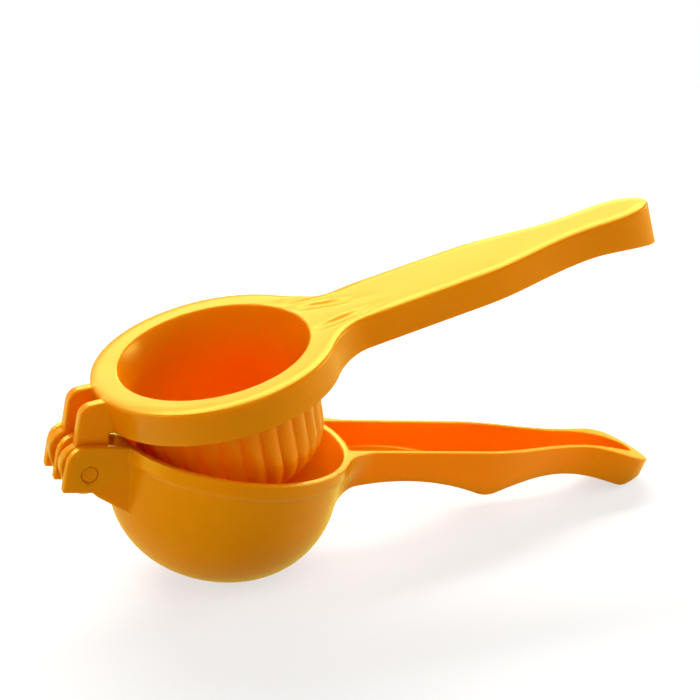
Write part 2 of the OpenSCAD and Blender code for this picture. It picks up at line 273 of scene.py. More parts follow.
def shade_from_field(mesh: bpy.types.Mesh, distance: Distance, turn: Array) -> None:
    """Gives each corner of a mesh the true normal of the field it was laid over.

    A face that lies across the field, such as the wall of a drilled hole, keeps its own normal.

    Args:
        mesh: the mesh, still in the field's own frame.
        distance: the field.
        turn: 3 by 3 rotation that the mesh is about to be given.
    """
    true = gradient(distance, coordinates(mesh))
    true /= np.maximum(np.linalg.norm(true, axis=1), TINY)[:, None]
    corner = np.empty(len(mesh.loops), np.int32)
    mesh.loops.foreach_get("vertex_index", corner)
    flat = np.empty(len(mesh.polygons) * 3)
    mesh.polygons.foreach_get("normal", flat)
    sides = np.empty(len(mesh.polygons), np.int32)
    mesh.polygons.foreach_get("loop_total", sides)
    own = np.repeat(flat.reshape(-1, 3), sides, axis=0)
    normal = true[corner]
    least_agreement = 0.35
    across = (normal * own).sum(1) < least_agreement
    normal[across] = own[across]
    mesh.polygons.foreach_set("use_smooth", np.ones(len(mesh.polygons), bool))
    mesh.normals_split_custom_set((normal @ turn.T).tolist())


def face_outwards(mesh: bpy.types.Mesh) -> None:
    """Merges doubled points, turns all faces outwards and shades the mesh smooth.

    Args:
        mesh: a closed mesh.
    """
    work = bmesh.new()
    work.from_mesh(mesh)
    bmesh.ops.remove_doubles(work, verts=work.verts, dist=MERGE)
    bmesh.ops.recalc_face_normals(work, faces=work.faces)
    for face in work.faces:
        face.smooth = True
    work.to_mesh(mesh)
    work.free()


# ---- the shapes both arms share


@dataclass(frozen=True)
class Cup:
    """A cup as a solid of revolution: a drafted wall, a corner curve and a shallow domed bottom."""

    top_r: float
    draft: float
    corner_r: float
    dome_r: float
    depth: float

    @property
    def wall_normal(self) -> Spot:
        """Radius and height of the outward normal of the wall."""
        angle = math.radians(self.draft)
        return math.cos(angle), -math.sin(angle)

    @property
    def corner(self) -> Spot:
        """Finds the corner curve, which touches the wall and the dome.

        Returns:
            Radius and height of the curve's centre.
        """
        across, down = self.wall_normal
        out = self.top_r - self.corner_r * across
        up = self.depth - self.dome_r - self.corner_r * down
        along = out * down - up * across
        inner = self.dome_r - self.corner_r
        fall = math.sqrt(along**2 - out**2 - up**2 + inner**2) - along
        return out + fall * down, up - fall * across + self.dome_r - self.depth

    def distance(self, radius: Array, z: Array) -> Array:
        """Distance to the cup's outside; above the mouth the wall goes on.

        Args:
            radius: distance from the cup's axis.
            z: height above the mouth.

        Returns:
            The distance, negative inside.
        """
        across, down = self.wall_normal
        corner_x, corner_z = self.corner
        out, up = radius - corner_x, z - corner_z
        dome_z = self.dome_r - self.depth
        wall = out * across + up * down - self.corner_r
        bend = np.hypot(out, up) - self.corner_r
        dome = np.hypot(radius, z - dome_z) - self.dome_r
        on_wall = across * up - down * out > 0
        on_dome = corner_x * up - (corner_z - dome_z) * out < 0
        return np.where(on_wall, wall, np.where(on_dome, dome, bend))

    def wall_radius(self, z: float) -> float:
        """Radius of the drafted wall at a height."""
        return self.top_r + z * math.tan(math.radians(self.draft))


@dataclass(frozen=True)
class Parting:
    """The line on which the closed handles meet: level, then bending down towards the tips."""

    bend_x: float = 138.0
    bend_r: float = 92.0

    def height(self, x: Amount) -> Amount:
        """Height of the line at a distance from the bowl's axis."""
        beyond = np.maximum(x - self.bend_x, 0)
        return np.sqrt(self.bend_r**2 - beyond**2) - self.bend_r

    def above(self, x: Array, z: Array) -> Array:
        """Distance above the line."""
        beyond = np.maximum(x - self.bend_x, 0)
        return (z - self.height(x)) * np.sqrt(1 - (beyond / self.bend_r) ** 2)


@dataclass(frozen=True)
class Handle:
    """A handle in plan: straight beside the bowl, waisted, and round at its end."""

    root_w: float
    end_w: float
    end_x: float
    tip_x: float
    waist_w: float = 16.8
    neck_x: float = 94.0
    waist_x: float = 138.0

    def hollow(self, wall: float, end_x: float, tip_x: float) -> "Handle":
        """The plan of the hollow between walls of a thickness; it ends narrow."""
        inner = self.waist_w - 2 * wall
        return Handle(self.root_w - 2 * wall, inner, end_x, tip_x, inner, self.neck_x, self.waist_x)

    def distance(self, x: Array, y: Array, widen: Amount = 0.0, reach: Amount = 0.0) -> Array:
        """Distance to the handle's outline.

        Args:
            x: distance from the bowl's axis.
            y: distance from the middle plane.
            widen: what is added to the width of the end, one value or a field.
            reach: what is added to the tip's distance from the axis.

        Returns:
            The distance, negative inside.
        """
        neck, flare = self.waist_x - self.neck_x, self.end_x - self.waist_x
        narrow, grow = self.waist_w - self.root_w, self.end_w + widen - self.waist_w
        in_neck, in_flare = (x - self.neck_x) / neck, (x - self.waist_x) / flare
        width = self.root_w + narrow * ease(in_neck) + grow * ease(in_flare)
        slope = narrow / neck * np.sin(np.pi * np.clip(in_neck, 0, 1))
        slope = slope + grow / flare * np.sin(np.pi * np.clip(in_flare, 0, 1))
        side = np.maximum((np.abs(y) - width / 2) / np.hypot(1, slope * np.pi / 4), -x)
        long, wide = self.tip_x + reach - self.end_x, (self.end_w + widen) / 2
        beyond = np.maximum(x - self.end_x, 0)
        scale = np.hypot(beyond / long, y / wide)
        steep = np.hypot(beyond / long**2, y / wide**2) + TINY
        return np.where(x < self.end_x, side, (scale - 1) * scale / steep)


@dataclass(frozen=True)
class Hinge:
    """The hinge's pin and lugs, seen from the side and across."""

    pin_x: float = -51.8
    pin_z: float = -9.7
    pin_r: float = 2.75
    push_gap: float = 0.02
    running_gap: float = 0.08
    width: float = 23.6
    bowl_lug_t: float = 3.0
    press_lug_t: float = 4.0
    lug_gap: float = 0.3
    end_r: float = 8.2
    corner_r: float = 7.0
    foot_drop: float = 6.3
    web_drop: float = 7.7
    pin_recess: float = 0.5
    bore_edge_r: float = 0.25
    arc_points: int = 9

    @property
    def left(self) -> float:
        """X of the lugs' far edge."""
        return self.pin_x - self.end_r

    def arc(self, middle: Spot, r: float, start: float, stop: float) -> list[Spot]:
        """Points of an arc in the XZ plane, between two angles in degrees."""
        angles = np.radians(np.linspace(start, stop, self.arc_points))
        return [(middle[0] + r * math.cos(a), middle[1] + r * math.sin(a)) for a in angles]

    def pin_distance(self, x: Array, z: Array, gap: float) -> Array:
        """Distance to the bore of the pin, with a radial gap."""
        return np.hypot(x - self.pin_x, z - self.pin_z) - self.pin_r - gap

    def plates(self, y: Array, middles: Sequence[float], thickness: float) -> Array:
        """Distance to the nearest of some plates across the hinge."""
        return np.min([np.abs(y - middle) for middle in middles], axis=0) - thickness / 2


@dataclass(frozen=True)
class Stance:
    """How the squeezer stands: its tilt on the table, and the press arm's opening about the pin."""

    bowl: Cup
    hinge: Hinge
    heel: Place
    opening: float = 22.2

    @property
    def tilt(self) -> float:
        """Finds how the bowl's axis leans: it stands on the bowl's corner curve and the heel.

        Returns:
            The angle in radians.
        """
        heel_x, heel_z, heel_r = self.heel
        reach_x, reach_z = heel_x - self.bowl.corner[0], self.bowl.corner[1] - heel_z
        lean = math.asin((self.bowl.corner_r - heel_r) / math.hypot(reach_x, reach_z))
        return lean - math.atan2(reach_z, reach_x)

    def matrix(self, arm: Arm) -> Matrix:
        """The move of an arm to where it stands.

        Args:
            arm: which arm it is.

        Returns:
            The matrix from the closed frame in millimetres to the part's frame in metres.
        """
        pin = Vector((self.hinge.pin_x, 0, self.hinge.pin_z))
        move = tilt = Matrix.Rotation(self.tilt, 4, "Y")
        if arm is Arm.PRESS:
            swing = Matrix.Rotation(-math.radians(self.opening), 4, "Y")
            move = tilt @ Matrix.Translation(pin) @ swing @ Matrix.Translation(-pin)
        corner_x, corner_z = self.bowl.corner
        contact = tilt @ Vector((corner_x, 0, corner_z))
        ground = Matrix.Translation((-contact.x, 0, self.bowl.corner_r - contact.z))
        return Matrix.Scale(MM, 4) @ ground @ move


def stand(thing: Thing, distance: Distance, stance: Stance, arm: Arm) -> Thing:
    """Thins a closed arm, shades it from its field and moves it to where it stands.

    Args:
        thing: the arm's object, in the bowl's frame and millimetres.
        distance: the arm's field.
        stance: how the squeezer stands.
        arm: which arm it is.

    Returns:
        The same object.
    """
    thin(thing, MOST_TRIANGLES)
    matrix = stance.matrix(arm)
    turn = np.array(matrix.to_3x3())
    moved = coordinates(thing.data) @ turn.T + np.array(matrix.translation)
    shade_from_field(thing.data, distance, turn / MM)
    thing.data.vertices.foreach_set("co", moved.astype(np.float32).ravel())
    thing.data.update()
    return thing


# ---- node trees


class NodeSheet:
    """A node tree under construction, with short ways to add and join nodes."""

    def __init__(self, tree: bpy.types.NodeTree) -> None:
        """Starts on an empty tree."""
        self.tree = tree
        self.tree.nodes.clear()

    def add(self, kind: str, inputs: Inputs | None = None, **settings: object) -> bpy.types.Node:
        """Adds a node.

        Args:
            kind: Blender's name of the node type.
            inputs: by name or number of the input socket, a value or a socket to join to it.
            settings: the node's own properties.

        Returns:
            The new node.
        """
        node = self.tree.nodes.new(kind)
        for name, value in settings.items():
            setattr(node, name, value)
        for key, value in (inputs or {}).items():
            if isinstance(value, Socket):
                self.tree.links.new(value, node.inputs[key])
            else:
                node.inputs[key].default_value = value
        return node

    def out(self, kind: str, inputs: Inputs | None = None, **settings: object) -> Socket:
        """Adds a node and returns its first output."""
        return self.add(kind, inputs, **settings).outputs[0]

    def math(self, operation: str, *values: object) -> Socket:
        """Adds a Math node for an operation on values or sockets and returns its result."""
        return self.out("ShaderNodeMath", dict(enumerate(values)), operation=operation)

    def seen(self) -> Socket:
        """Tells the rays that show a surface from those that only carry its light.

        Returns:
            A socket: 1 for rays from the camera or a mirrored or clear surface, else 0.
        """
        rays = self.add("ShaderNodeLightPath").outputs
        seen = self.math("MAXIMUM", rays["Is Camera Ray"], rays["Is Glossy Ray"])
        return self.math("MAXIMUM", seen, rays["Is Transmission Ray"])


class Growth(NodeSheet):
    """A Geometry Nodes tree with named inputs, run on an object and then baked into its mesh."""

    def __init__(self, name: str, sizes: dict[str, float | int]) -> None:
        """Makes the tree.

        Args:
            name: the tree's name.
            sizes: name and value of each input after the geometry; whole numbers become integers.
        """
        super().__init__(bpy.data.node_groups.new(name, "GeometryNodeTree"))
        face = self.tree.interface
        face.new_socket(name="Geometry", in_out="INPUT", socket_type="NodeSocketGeometry")
        face.new_socket(name="Geometry", in_out="OUTPUT", socket_type="NodeSocketGeometry")
        self.sizes = sizes
        self.identifiers = {}
        for label, value in sizes.items():
            kind = "NodeSocketInt" if isinstance(value, int) else "NodeSocketFloat"
            socket = face.new_socket(name=label, in_out="INPUT", socket_type=kind)
            self.identifiers[label] = socket.identifier
        self.inputs = self.add("NodeGroupInput").outputs

    def bake(self, thing: Thing, result: Socket, material: Material) -> None:
        """Ends the tree, runs it on an object and keeps the result as a plain mesh.

        Args:
            thing: the object, whose mesh is the tree's input.
            result: the last geometry socket.
            material: what Set Material gives the result.
        """
        whole = self.out("GeometryNodeRealizeInstances", {"Geometry": result})
        painted = self.out("GeometryNodeSetMaterial", {"Geometry": whole, "Material": material})
        self.add("NodeGroupOutput", {"Geometry": painted})
        modifier = thing.modifiers.new(self.tree.name, "NODES")
        modifier.node_group = self.tree
        for label, value in self.sizes.items():
            modifier[self.identifiers[label]] = value
        keep_shape(thing, modifier)


# ---- finishes


@dataclass(frozen=True)
class MouldedPlastic:
    """Glossy translucent plastic as it leaves the mould.

    Its colour drifts a little with the flow of the melt, the gloss is uneven, and the skin has a
    fine orange-peel grain over long soft waves.
    """

    name: str
    light: Place
    deep: Place
    roughness: Spot = (0.2, 0.28)
    sheen_tint: Place = (1.0, 1.0, 0.05)
    skin_tint: Place = (1.0, 1.0, 0.62)
    specular: float = 0.5
    ior: float = 1.5
    skin_ior: float = 1.02
    skin_roughness: float = 0.3
    glow: float = 0.4
    glow_depth: float = 0.008
    glow_colour: Place = (1.0, 0.25, 0.02)
    stretch: Place = (0.35, 1.0, 1.0)
    flow_range: Spot = (0.3, 0.7)
    grain: float = 0.05
    grain_height: float = 0.0002
    wave: float = 0.18
    wave_height: float = 0.0006

    def make(self) -> Material:
        """Builds the finish.

        Returns:
            The material.
        """
        material = bpy.data.materials.new(self.name)
        material.use_nodes = True
        sheet = NodeSheet(material.node_tree)
        place = sheet.add("ShaderNodeTexCoord").outputs["Object"]
        drawn = sheet.out("ShaderNodeMapping", {"Vector": place, "Scale": self.stretch})
        noise, spread, bump = "ShaderNodeTexNoise", "ShaderNodeMapRange", "ShaderNodeBump"
        flow = sheet.out(noise, {"Vector": drawn, "Scale": 38.0, "Detail": 4.0, "Distortion": 0.6})
        grain = sheet.out(noise, {"Vector": place, "Scale": 900.0, "Detail": 2.0})
        wave = sheet.out(noise, {"Vector": drawn, "Scale": 70.0, "Detail": 1.0})
        low, high = self.flow_range
        drift = sheet.out(spread, {"Value": flow, "From Min": low, "From Max": high})
        tones = {"Factor": drift, 6: (*self.deep, 1), 7: (*self.light, 1)}
        colour = sheet.add("ShaderNodeMix", tones, data_type="RGBA").outputs[2]
        low, high = self.roughness
        gloss = sheet.out(spread, {"Value": wave, "To Min": low, "To Max": high})
        swell = {"Strength": self.wave, "Distance": self.wave_height, "Height": wave}
        peel = {"Strength": self.grain, "Distance": self.grain_height, "Height": grain}
        peel["Normal"] = sheet.out(bump, swell)
        skin = sheet.out(
            "ShaderNodeBsdfPrincipled",
            {
                "Base Color": colour,
                "Roughness": gloss,
                "Normal": sheet.out(bump, peel),
                "IOR": self.ior,
                "Specular IOR Level": self.specular,
                "Specular Tint": (*self.sheen_tint, 1),
                "Coat Weight": 1.0,
                "Coat IOR": self.skin_ior,
                "Coat Roughness": self.skin_roughness,
                "Coat Tint": (*self.skin_tint, 1),
                "Subsurface Weight": self.glow,
                "Subsurface Radius": self.glow_colour,
                "Subsurface Scale": self.glow_depth,
            },
        )
        sheet.add("ShaderNodeOutputMaterial", {"Surface": skin})
        return material


# ---- the pieces


@dataclass(frozen=True)
class BowlArm:
    """The lower arm: bowl with strainer bottom, channel handle with finger arches, three lugs."""

    hinge: Hinge
    parting: Parting = Parting()
    handle: Handle = Handle(root_w=29.4, end_w=25.8, end_x=159.5, tip_x=172.4)
    rim_r: float = 41.0
    rim_edge_r: float = 0.7
    band_h: float = 5.0
    band_step: float = 0.7
    band_edge_r: float = 0.6
    band_fillet_r: float = 1.5
    band_end: Spot = (33.0, 5.0)
    draft: float = 6.0
    bowl_corner_r: float = 32.0
    dome_r: float = 300.0
    bowl_depth: float = 48.2
    wall: float = 2.2
    root_r: float = 10.5
    under_r: float = 6.0
    under_rise: Spot = (-6.0, -6.0)
    channel_wall: float = 2.1
    floor: float = 1.4
    channel_end_x: float = 152.0
    channel_end_gap: float = 7.0
    channel_floor_r: float = 1.2
    channel_root_r: float = 1.0
    channel_edge_r: float = 0.45
    end_draft: float = 11.5
    bump_depth: float = 16.6
    heel_depth: float = 15.4
    heel_r: float = 4.5
    heel_rise: Spot = (157.0, 8.0)
    grip_edge_r: float = 0.9
    parting_edge_r: float = 0.5
    arch_depth: float = 11.1
    arches: tuple[Spot, ...] = ((62.0, 98.0), (129.5, 90.0))
    arch_tip_r: float = 1.5
    arch_edge_r: float = 0.8
    lug_root: float = 5.0
    lug_over: float = 1.2
    lug_foot: tuple[Spot, ...] = ((3.4, -1.3), (1.8, 0.0))
    lug_edge_r: float = 0.5
    lug_fillet_r: float = 0.8
    hole_r: float = 1.6
    hole_pitch: float = 6.2
    hole_rings: int = 3
    hole_sides: int = 28
    drill_length: float = 14.0
    box: tuple[Place, Place] = ((-62.0, -43.0, -50.0), (174.0, 43.0, 2.0))
    cell: float = 0.65

    @property
    def bowl(self) -> Cup:
        """The bowl's outside."""
        top_r = self.rim_r - self.band_step + self.band_h * math.tan(math.radians(self.draft))
        return Cup(top_r, self.draft, self.bowl_corner_r, self.dome_r, self.bowl_depth)

    @property
    def channel(self) -> Handle:
        """The plan of the handle's channel."""
        tip_x = self.handle.tip_x - self.channel_end_gap
        return self.handle.hollow(self.channel_wall, self.channel_end_x, tip_x)

    @property
    def heel(self) -> Place:
        """Finds the round heel on which the handle stands.

        Returns:
            Its X, Z and radius.
        """
        slope = math.radians(self.end_draft)
        z = self.heel_r - self.heel_depth
        x = self.handle.tip_x + z * math.tan(slope) - self.heel_r / math.cos(slope)
        return x, z, self.heel_r

    def under(self, x: Array, z: Array) -> Array:
        """Distance below the handle's underside with its two arches.

        Args:
            x: distance along the handle from the bowl's axis.
            z: height above the bowl's mouth.

        Returns:
            The distance, negative in the handle.
        """
        first, second = [
            middle_r - np.hypot(x - middle_x, z + self.arch_depth + middle_r)
            for middle_x, middle_r in self.arches
        ]
        depth = np.where(x < self.arches[1][0], self.bump_depth, self.heel_depth)
        return round_cut(round_cut(first, second, self.arch_tip_r), -depth - z, self.arch_edge_r)

    def distance(self, at: Places) -> Array:
        """The arm's distance field, closed, in the bowl's frame.

        Args:
            at: X, Y and Z of the places asked for.

        Returns:
            The distance, negative inside.
        """
        x, y, z = at
        hinge = self.hinge
        radius = np.hypot(x, y)
        bowl = self.bowl.distance(radius, z)
        side = radius - self.rim_r + self.band_step * ramp(x, *self.band_end)
        band = round_cut(side, -self.band_h - z, self.band_edge_r)
        vessel = round_union(bowl, band, self.band_fillet_r)
        taper = 2 * math.tan(math.radians(self.end_draft)) * np.clip(z, -self.bump_depth - 1, 0)
        plan = self.handle.distance(x, y, taper, taper / 2)
        under = self.under(x, z)
        edge_r = self.grip_edge_r + (self.heel_r - self.grip_edge_r) * ramp(x, *self.heel_rise)
        root_r = self.root_r + (self.under_r - self.root_r) * ramp(z, *self.under_rise)
        solid = round_union(vessel, round_cut(plan, under, edge_r), root_r)
        solid = round_union(solid, self.lugs(at), self.lug_fillet_r)
        solid = round_cut(solid, self.parting.above(x, z), self.parting_edge_r)
        hollow = round_cut(self.channel.distance(x, y), under + self.floor, self.channel_floor_r)
        hollow = round_cut(hollow, -vessel, self.channel_root_r)
        solid = round_cut(solid, -hollow, self.channel_edge_r)
        solid = round_cut(solid, -(bowl + self.wall), self.rim_edge_r)
        return round_cut(solid, -hinge.pin_distance(x, z, hinge.push_gap), hinge.bore_edge_r)

    def lugs(self, at: Places) -> Array:
        """Distance to the three lugs, which run on above the parting line beside the bowl.

        Args:
            at: X, Y and Z of the places asked for.

        Returns:
            The distance, negative inside.
        """
        x, y, z = at
        hinge = self.hinge
        foot = hinge.pin_z - hinge.foot_drop
        root = self.lug_root - self.rim_r
        side = [
            (hinge.left, foot),
            *hinge.arc((hinge.left + hinge.corner_r, -hinge.corner_r), hinge.corner_r, 180, 90),
            (hinge.left + hinge.corner_r + self.lug_over, self.lug_over),
            (root, self.lug_over),
            (root, foot - hinge.web_drop),
            *((hinge.pin_x + across, foot + rise) for across, rise in self.lug_foot),
        ]
        spread = (hinge.width - hinge.bowl_lug_t) / 2
        plates = hinge.plates(y, (-spread, 0, spread), hinge.bowl_lug_t)
        return round_cut(outline_distance(x, z, side), plates, self.lug_edge_r)

    def strainer(self) -> tuple[Growth, Socket]:
        """The tree that drills rings of holes through the bowl's bottom.

        Ring k has 6 k holes, so 3 k (k - 1) + 1 holes come before it. Its number follows from that
        of a hole by a square root, with 0.001 added against rounding.

        Returns:
            The tree and its last geometry socket.
        """
        sizes = {"Rings": self.hole_rings, "Pitch": self.hole_pitch, "Hole Radius": self.hole_r}
        sizes |= {"Bottom": -self.bowl_depth, "Sides": self.hole_sides}
        tree = Growth("strainer_holes", sizes)
        node, given = tree.math, tree.inputs
        twice = node("MULTIPLY", given["Rings"], node("ADD", given["Rings"], 1))
        count = node("MULTIPLY_ADD", twice, 3, 1)
        number = tree.out("GeometryNodeInputIndex")
        root = node("SQRT", node("MAXIMUM", node("MULTIPLY_ADD", number, 12, -3), 0))
        ring = node("FLOOR", node("DIVIDE", node("ADD", root, 3.001), 6))
        before = node("MULTIPLY_ADD", node("MULTIPLY", ring, node("SUBTRACT", ring, 1)), 3, 1)
        turn = node("DIVIDE", node("SUBTRACT", number, before), node("MAXIMUM", ring, 1))
        angle = node("MULTIPLY", turn, math.radians(60))
        outside = node("SUBTRACT", 1, node("COMPARE", number, 0, 0.5))
        far = node("MULTIPLY", node("MULTIPLY", ring, given["Pitch"]), outside)
        x, y = (node("MULTIPLY", far, node(wave, angle)) for wave in ("COSINE", "SINE"))
        spot = tree.out("ShaderNodeCombineXYZ", {0: x, 1: y, 2: given["Bottom"]})
        points = tree.out("GeometryNodePoints", {"Count": count, "Position": spot})
        shape = {"Vertices": given["Sides"], "Radius": given["Hole Radius"]}
        drill = tree.out("GeometryNodeMeshCylinder", {**shape, "Depth": self.drill_length})
        placed = tree.out("GeometryNodeInstanceOnPoints", {"Points": points, "Instance": drill})
        drills = tree.out("GeometryNodeRealizeInstances", {"Geometry": placed})
        pair = {"Mesh 1": given["Geometry"], "Mesh 2": drills}
        kind = "GeometryNodeMeshBoolean"
        return tree, tree.out(kind, pair, operation="DIFFERENCE", solver="MANIFOLD")

    def build(self, stance: Stance, plastic: Material) -> Thing:
        """Makes the arm's mesh, drills it and stands it up.

        Args:
            stance: how the squeezer stands.
            plastic: the arm's finish.

        Returns:
            The arm's object.
        """
        arm = mesh_object("bowl_arm_moulding", *net(self.distance, *self.box, self.cell))
        tree, drilled = self.strainer()
        tree.bake(arm, drilled, plastic)
        return stand(arm, self.distance, stance, Arm.BOWL)


@dataclass(frozen=True)
class PressArm:
    """The upper arm: a ring with a press cup inside it, a hollow handle and two lugs."""

    hinge: Hinge
    parting: Parting = Parting()
    handle: Handle = Handle(root_w=28.0, end_w=17.8, end_x=152.0, tip_x=169.8)
    cup: Cup = Cup(top_r=32.35, draft=2.0, corner_r=15.0, dome_r=76.0, depth=35.6)
    ring_r: float = 41.25
    ring_h: float = 12.1
    edge_r: float = 0.7
    crown: float = 0.6
    crown_w: float = 5.0
    sink: float = 0.7
    sink_l: float = 10.5
    sink_w: float = 2.2
    sink_marks: tuple[Place, ...] = ((43.0, 5.0, -22.0), (42.5, -9.3, 6.0), (43.0, 14.5, -8.0))
    top_wall: float = 2.4
    top_corner_r: float = 1.0
    skirt: float = 2.3
    skirt_edge_r: float = 0.4
    root_r: float = 10.5
    closing_gap: float = 0.3
    parting_edge_r: float = 0.5
    tip_draft: float = 6.0
    cup_wall: float = 2.6
    cup_drop: float = 0.8
    mouth_r: float = 32.3
    mouth_edge_r: float = 0.6
    flare_base: float = -3.0
    flare_most: float = 1.2
    flute_count: int = 30
    flute_depth: float = 0.9
    flute_fade_r: float = 9.0
    flute_fade_h: float = 1.5
    flute_skin: float = 0.3
    lug_root: float = 4.0
    lug_top: tuple[Spot, ...] = ((-0.5, -0.4), (2.6, -1.2))
    lug_foot: float = 0.65
    lug_turn: float = 94.0
    lug_edge_r: float = 0.6
    shoulder_r: float = 4.8
    shoulder_out: float = 4.1
    shoulder_turn: float = 157.0
    fillet_r: float = 0.8
    box: tuple[Place, Place] = ((-62.0, -43.0, -36.5), (172.0, 43.0, 13.5))
    cell: float = 0.58

    @property
    def hollow(self) -> Handle:
        """The plan of the handle's hollow underside."""
        tip_x = self.handle.tip_x - 2 * self.skirt
        return self.handle.hollow(self.skirt, self.handle.end_x, tip_x)

    def cup_inside(self, radius: Array, z: Array) -> Array:
        """Distance to the cup's smooth inside, which flares out to its mouth.

        Args:
            radius: distance from the cup's axis.
            z: height above the bowl's mouth.

        Returns:
            The distance, negative in the hollow.
        """
        straight = self.cup.wall_radius(self.ring_h) - self.cup_wall / self.cup.wall_normal[0]
        rise = (z - self.flare_base) / (self.ring_h - self.flare_base)
        flare = (self.mouth_r - straight) * np.clip(rise, 0, self.flare_most) ** 2
        return self.cup.distance(radius - flare, z) + self.cup_wall

    def fade(self, radius: Array, z: Array) -> Array:
        """Depth of the valleys: none near the middle of the cup's bottom or in the ring's top."""
        inner = np.clip((radius - self.flute_fade_r) / self.flute_fade_r, 0, 1)
        return self.flute_depth * inner * ramp(z, self.ring_h - self.top_wall, -self.flute_fade_h)

    def fluted(self, at: Places) -> Array:
        """The arm's distance field with the flutes of its cup.

        Args:
            at: X, Y and Z of the places asked for.

        Returns:
            The distance, negative inside.
        """
        x, y, z = at
        turn = np.arctan2(y, x) * self.flute_count / (2 * np.pi) + 0.5
        lobe = (2 * (turn - np.floor(turn)) - 1) ** 2
        return self.distance(at, self.fade(np.hypot(x, y), z) * lobe)

    def distance(self, at: Places, groove: Amount = 0.0) -> Array:
        """The arm's distance field, closed, in the bowl's frame.

        Args:
            at: X, Y and Z of the places asked for.
            groove: how deep a flute's valley is there.

        Returns:
            The distance, negative inside.
        """
        x, y, z = at
        hinge = self.hinge
        radius = np.hypot(x, y)
        foot = self.closing_gap + self.parting.height(self.handle.tip_x)
        lean = -math.tan(math.radians(self.tip_draft)) * (np.clip(z, foot, self.ring_h) - foot)
        handle = self.handle.distance(x, y, reach=lean)
        plan = round_union(radius - self.ring_r, handle, self.root_r)
        solid = round_cut(plan, self.top(at, plan), self.edge_r)
        parting = self.closing_gap - self.parting.above(x, z)
        solid = round_cut(solid, parting, self.parting_edge_r)
        inner_ring = radius - self.ring_r + self.skirt
        inner = round_union(inner_ring, self.hollow.distance(x, y), self.root_r + self.skirt)
        inner = round_cut(inner, z - self.ring_h + self.top_wall, self.top_corner_r)
        solid = round_cut(solid, -inner, self.skirt_edge_r)
        solid = round_union(solid, self.lugs(at), self.fillet_r)
        core = np.maximum(self.cup.distance(radius + groove, z), z - self.ring_h + self.cup_drop)
        solid = round_union(solid, core, self.fillet_r)
        solid = round_cut(solid, -self.cup_inside(radius, z), self.mouth_edge_r)
        return round_cut(solid, -hinge.pin_distance(x, z, hinge.running_gap), hinge.bore_edge_r)

    def top(self, at: Places, plan: Array) -> Array:
        """Distance above the top face, which falls off to its edge and has shallow sink marks.

        Args:
            at: X, Y and Z of the places asked for.
            plan: distance to the outline of ring and handle, negative inside.

        Returns:
            The distance, negative below the face.
        """
        x, y, z = at
        fall = self.crown * np.clip(1 + plan / self.crown_w, 0, 1) ** 2
        for mark_x, mark_y, turn in self.sink_marks:
            ahead, aside = math.cos(math.radians(turn)), math.sin(math.radians(turn))
            along = ((x - mark_x) * ahead + (y - mark_y) * aside) / self.sink_l
            across = ((y - mark_y) * ahead - (x - mark_x) * aside) / self.sink_w
            fall = fall + self.sink * np.exp(-(along**2) - across**2)
        return z - self.ring_h + fall

    def lugs(self, at: Places) -> Array:
        """Distance to the two lugs.

        Args:
            at: X, Y and Z of the places asked for.

        Returns:
            The distance, negative inside.
        """
        x, y, z = at
        hinge = self.hinge
        corner = (hinge.left + hinge.corner_r, -hinge.corner_r)
        shoulder = (-self.ring_r - self.shoulder_out, self.ring_h - self.shoulder_r)
        side = [
            (hinge.left, hinge.pin_z),
            *hinge.arc(corner, hinge.corner_r, 180, self.lug_turn),
            *hinge.arc(shoulder, self.shoulder_r, self.shoulder_turn, 90),
            *((across - self.ring_r, self.ring_h + rise) for across, rise in self.lug_top),
            (self.lug_root - self.ring_r, self.closing_gap),
            (-self.ring_r - self.lug_foot, self.closing_gap),
            (hinge.pin_x + hinge.end_r, hinge.pin_z),
            (hinge.pin_x, hinge.pin_z),
        ]
        eye = hinge.pin_distance(x, z, hinge.end_r - hinge.pin_r)
        flat = np.minimum(outline_distance(x, z, side), eye)
        middle = hinge.width / 2 - hinge.bowl_lug_t - hinge.lug_gap - hinge.press_lug_t / 2
        plates = hinge.plates(y, (-middle, middle), hinge.press_lug_t)
        return round_cut(flat, plates, self.lug_edge_r)

    def flutes(self) -> tuple[Growth, Socket]:
        """The tree that draws the cup's outside in between its flutes, by the attribute valley.

        Returns:
            The tree and its last geometry socket.
        """
        tree = Growth("press_cup_flutes", {"Flutes": self.flute_count, "Depth": self.flute_depth})
        node, given = tree.math, tree.inputs
        place = tree.out("GeometryNodeInputPosition")
        spot = tree.add("ShaderNodeSeparateXYZ", {0: place}).outputs
        angle = node("DIVIDE", node("ARCTAN2", spot[1], spot[0]), 2 * math.pi)
        lobe = node("FRACT", node("MULTIPLY_ADD", angle, given["Flutes"], 0.5))
        lobe = node("POWER", node("ABSOLUTE", node("MULTIPLY_ADD", lobe, 2, -1)), 2)
        kind = "GeometryNodeInputNamedAttribute"
        share = tree.out(kind, {"Name": "valley"}, data_type="FLOAT")
        drawn = node("MULTIPLY", node("MULTIPLY", given["Depth"], lobe), share)
        kind = "ShaderNodeVectorMath"
        outward = tree.out(kind, {0: place, 1: (1, 1, 0)}, operation="MULTIPLY")
        outward = tree.out(kind, {0: outward}, operation="NORMALIZE")
        inward = {0: outward, "Scale": node("MULTIPLY", drawn, -1)}
        offset = tree.out(kind, inward, operation="SCALE")
        moved = {"Geometry": given["Geometry"], "Offset": offset}
        return tree, tree.out("GeometryNodeSetPosition", moved)

